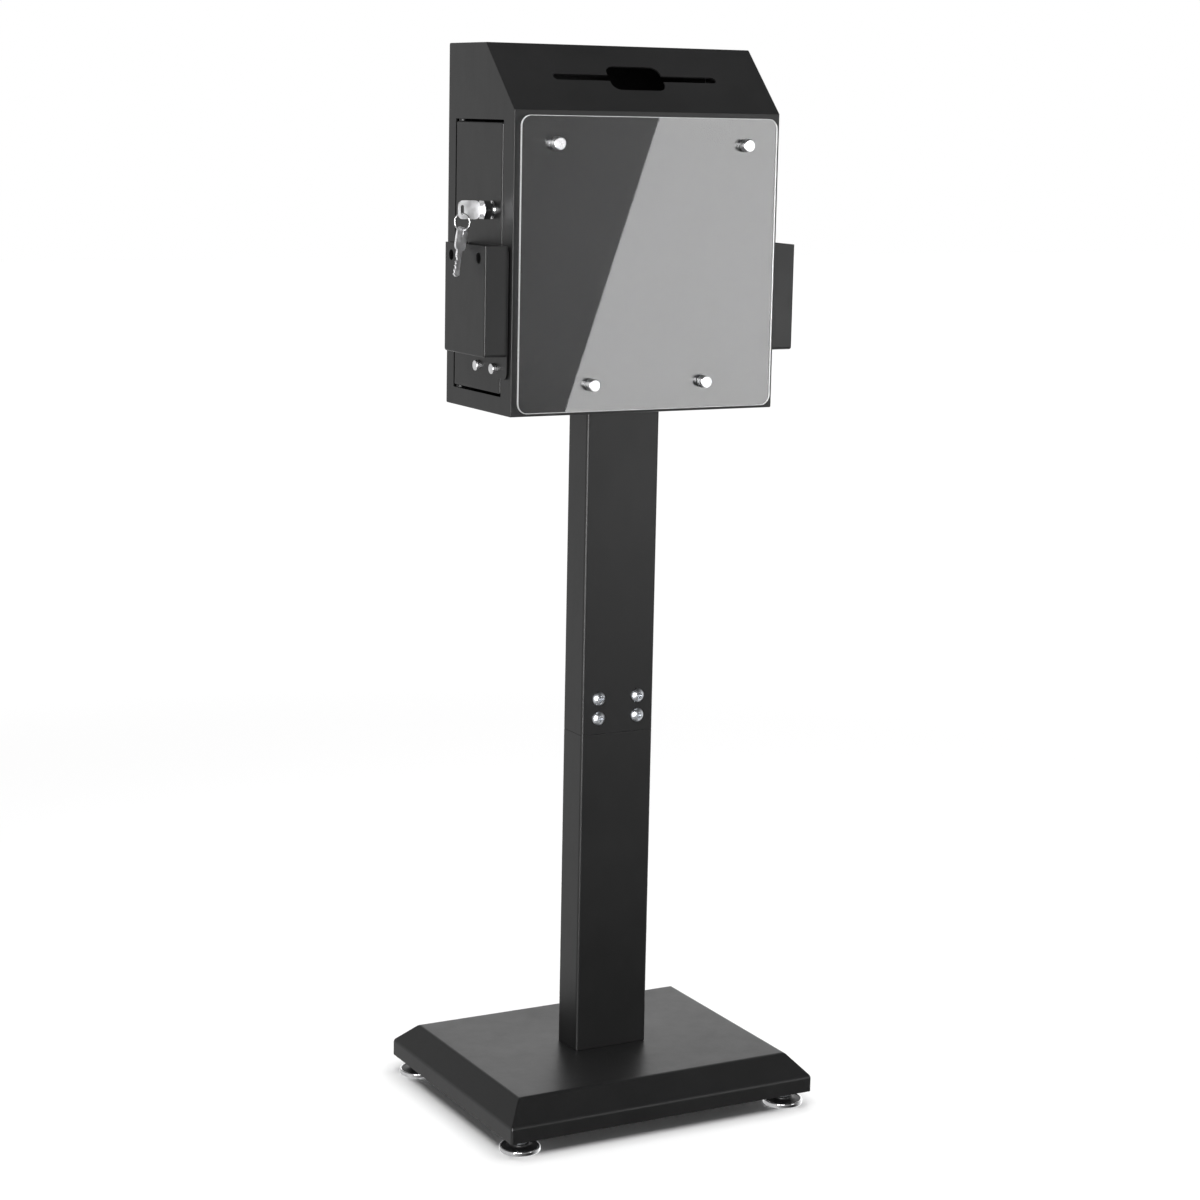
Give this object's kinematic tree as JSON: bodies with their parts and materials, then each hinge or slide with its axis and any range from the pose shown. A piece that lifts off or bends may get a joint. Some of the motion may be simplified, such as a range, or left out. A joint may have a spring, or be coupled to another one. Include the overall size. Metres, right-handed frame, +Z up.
{
  "type": "floor-standing collection box",
  "caption": "Lockable steel collection box with a slotted sloped top, clear sign panel and side pockets, on a pole and a levelled base.",
  "frame": {"origin": "on the floor, under the middle of the pole", "axes": "+Z up; the sign panel faces -Y; the lockable door is in the left side and faces -X"},
  "size_m": [0.3549, 0.279, 1.048],
  "materials": {
    "black_powder_coat": "satin, finely textured powder coat",
    "chrome": "polished",
    "zinc_plated_steel": "bright zinc plate",
    "primed_steel": "matt black primer",
    "black_plastic": "matt",
    "clear_acrylic": "clear polished acrylic"
  },
  "bodies": {
    "stand": {"back_panel": "black_powder_coat", "ballast_plate": "primed_steel", "base_bolts": "zinc_plated_steel", "base_cover": "black_powder_coat", "base_washers": "zinc_plated_steel", "box_bolts": "zinc_plated_steel", "box_washers": "zinc_plated_steel", "floor_panel": "black_powder_coat", "floor_plug": "black_plastic", "foot_gussets": "primed_steel", "foot_nuts": "zinc_plated_steel", "front_panel": "black_powder_coat", "hinge_brackets": "black_powder_coat", "hinge_pins": "zinc_plated_steel", "hinge_spacers": "black_plastic", "pocket_right": "black_powder_coat", "pocket_right_nuts": "zinc_plated_steel", "pocket_right_screws": "chrome", "pocket_right_spacers": "black_plastic", "pole_foot_block": "primed_steel", "pole_head_block": "primed_steel", "pole_lower": "black_powder_coat", "pole_screws": "zinc_plated_steel", "pole_sleeve": "primed_steel", "pole_upper": "black_powder_coat", "side_left": "black_powder_coat", "side_right": "black_powder_coat", "sign_panel": "clear_acrylic", "slope_panel": "black_powder_coat", "spreader_plate": "primed_steel", "standoff_barrels": "chrome", "standoff_caps": "chrome", "standoff_nuts": "zinc_plated_steel", "top_panel": "black_powder_coat"},
    "door": {"door_panel": "black_powder_coat", "lock_body": "chrome", "lock_nut": "zinc_plated_steel", "pocket_left": "black_powder_coat", "pocket_left_screws": "chrome", "pocket_left_nuts": "zinc_plated_steel", "pocket_left_spacers": "black_plastic"},
    "lock_turner": {"lock_plug": "chrome", "lock_cam": "zinc_plated_steel", "cam_screw": "zinc_plated_steel"},
    "key": {"key": "chrome"},
    "key_ring": {"key_ring": "chrome"},
    "spare_key": {"spare_key": "chrome"},
    "foot_pad_front_left": {"foot_pad_front_left": "chrome"},
    "foot_stud_front_left": {"foot_stud_front_left": "zinc_plated_steel"},
    "foot_pad_front_right": {"foot_pad_front_right": "chrome"},
    "foot_stud_front_right": {"foot_stud_front_right": "zinc_plated_steel"},
    "foot_pad_rear_left": {"foot_pad_rear_left": "chrome"},
    "foot_stud_rear_left": {"foot_stud_rear_left": "zinc_plated_steel"},
    "foot_pad_rear_right": {"foot_pad_rear_right": "chrome"},
    "foot_stud_rear_right": {"foot_stud_rear_right": "zinc_plated_steel"}
  },
  "joints": [
    {"name": "door_hinge", "type": "hinge", "parent": "stand", "child": "door", "pos_m": [-0.138, 0.0605, 0.848], "axis": [0, 0, -1], "range_deg": [0, 95]},
    {"name": "lock_turn", "type": "hinge", "parent": "door", "child": "lock_turner", "pos_m": [-0.143, -0.016, 0.8935], "axis": [1, 0, 0], "range_deg": [0, 90]},
    {"name": "key_withdraw", "type": "slide", "parent": "lock_turner", "child": "key", "axis": [-1, 0, 0], "range_m": [0, 0.03]},
    {"name": "ring_swing", "type": "hinge", "parent": "key", "child": "key_ring", "pos_m": [-0.1743, -0.016, 0.89015], "axis": [-0.5736, 0.8192, 0], "range_deg": [0, 40]},
    {"name": "spare_key_swing", "type": "hinge", "parent": "key_ring", "child": "spare_key", "pos_m": [-0.1743, -0.016, 0.87415], "axis": [-0.4695, 0.8829, 0], "range_deg": [0, 35]},
    {"name": "foot_front_left_height", "type": "slide", "parent": "stand", "child": "foot_pad_front_left", "axis": [0, 0, -1], "range_m": [-0.004, 0.01]},
    {"name": "foot_front_left_screw", "type": "hinge", "parent": "foot_pad_front_left", "child": "foot_stud_front_left", "pos_m": [-0.149, -0.1135, 0.02], "axis": [0, 0, -1], "range_deg": [-961, 2401]},
    {"name": "foot_front_right_height", "type": "slide", "parent": "stand", "child": "foot_pad_front_right", "axis": [0, 0, -1], "range_m": [-0.004, 0.01]},
    {"name": "foot_front_right_screw", "type": "hinge", "parent": "foot_pad_front_right", "child": "foot_stud_front_right", "pos_m": [0.149, -0.1135, 0.02], "axis": [0, 0, -1], "range_deg": [-961, 2401]},
    {"name": "foot_rear_left_height", "type": "slide", "parent": "stand", "child": "foot_pad_rear_left", "axis": [0, 0, -1], "range_m": [-0.004, 0.01]},
    {"name": "foot_rear_left_screw", "type": "hinge", "parent": "foot_pad_rear_left", "child": "foot_stud_rear_left", "pos_m": [-0.149, 0.1215, 0.02], "axis": [0, 0, -1], "range_deg": [-961, 2401]},
    {"name": "foot_rear_right_height", "type": "slide", "parent": "stand", "child": "foot_pad_rear_right", "axis": [0, 0, -1], "range_m": [-0.004, 0.01]},
    {"name": "foot_rear_right_screw", "type": "hinge", "parent": "foot_pad_rear_right", "child": "foot_stud_rear_right", "pos_m": [0.149, 0.1215, 0.02], "axis": [0, 0, -1], "range_deg": [-961, 2401]}
  ],
  "couplings": [
    {"joint": "foot_front_left_screw", "follows": "foot_front_left_height", "rad_per_m": 4188.8},
    {"joint": "foot_front_right_screw", "follows": "foot_front_right_height", "rad_per_m": 4188.8},
    {"joint": "foot_rear_left_screw", "follows": "foot_rear_left_height", "rad_per_m": 4188.8},
    {"joint": "foot_rear_right_screw", "follows": "foot_rear_right_height", "rad_per_m": 4188.8}
  ]
}
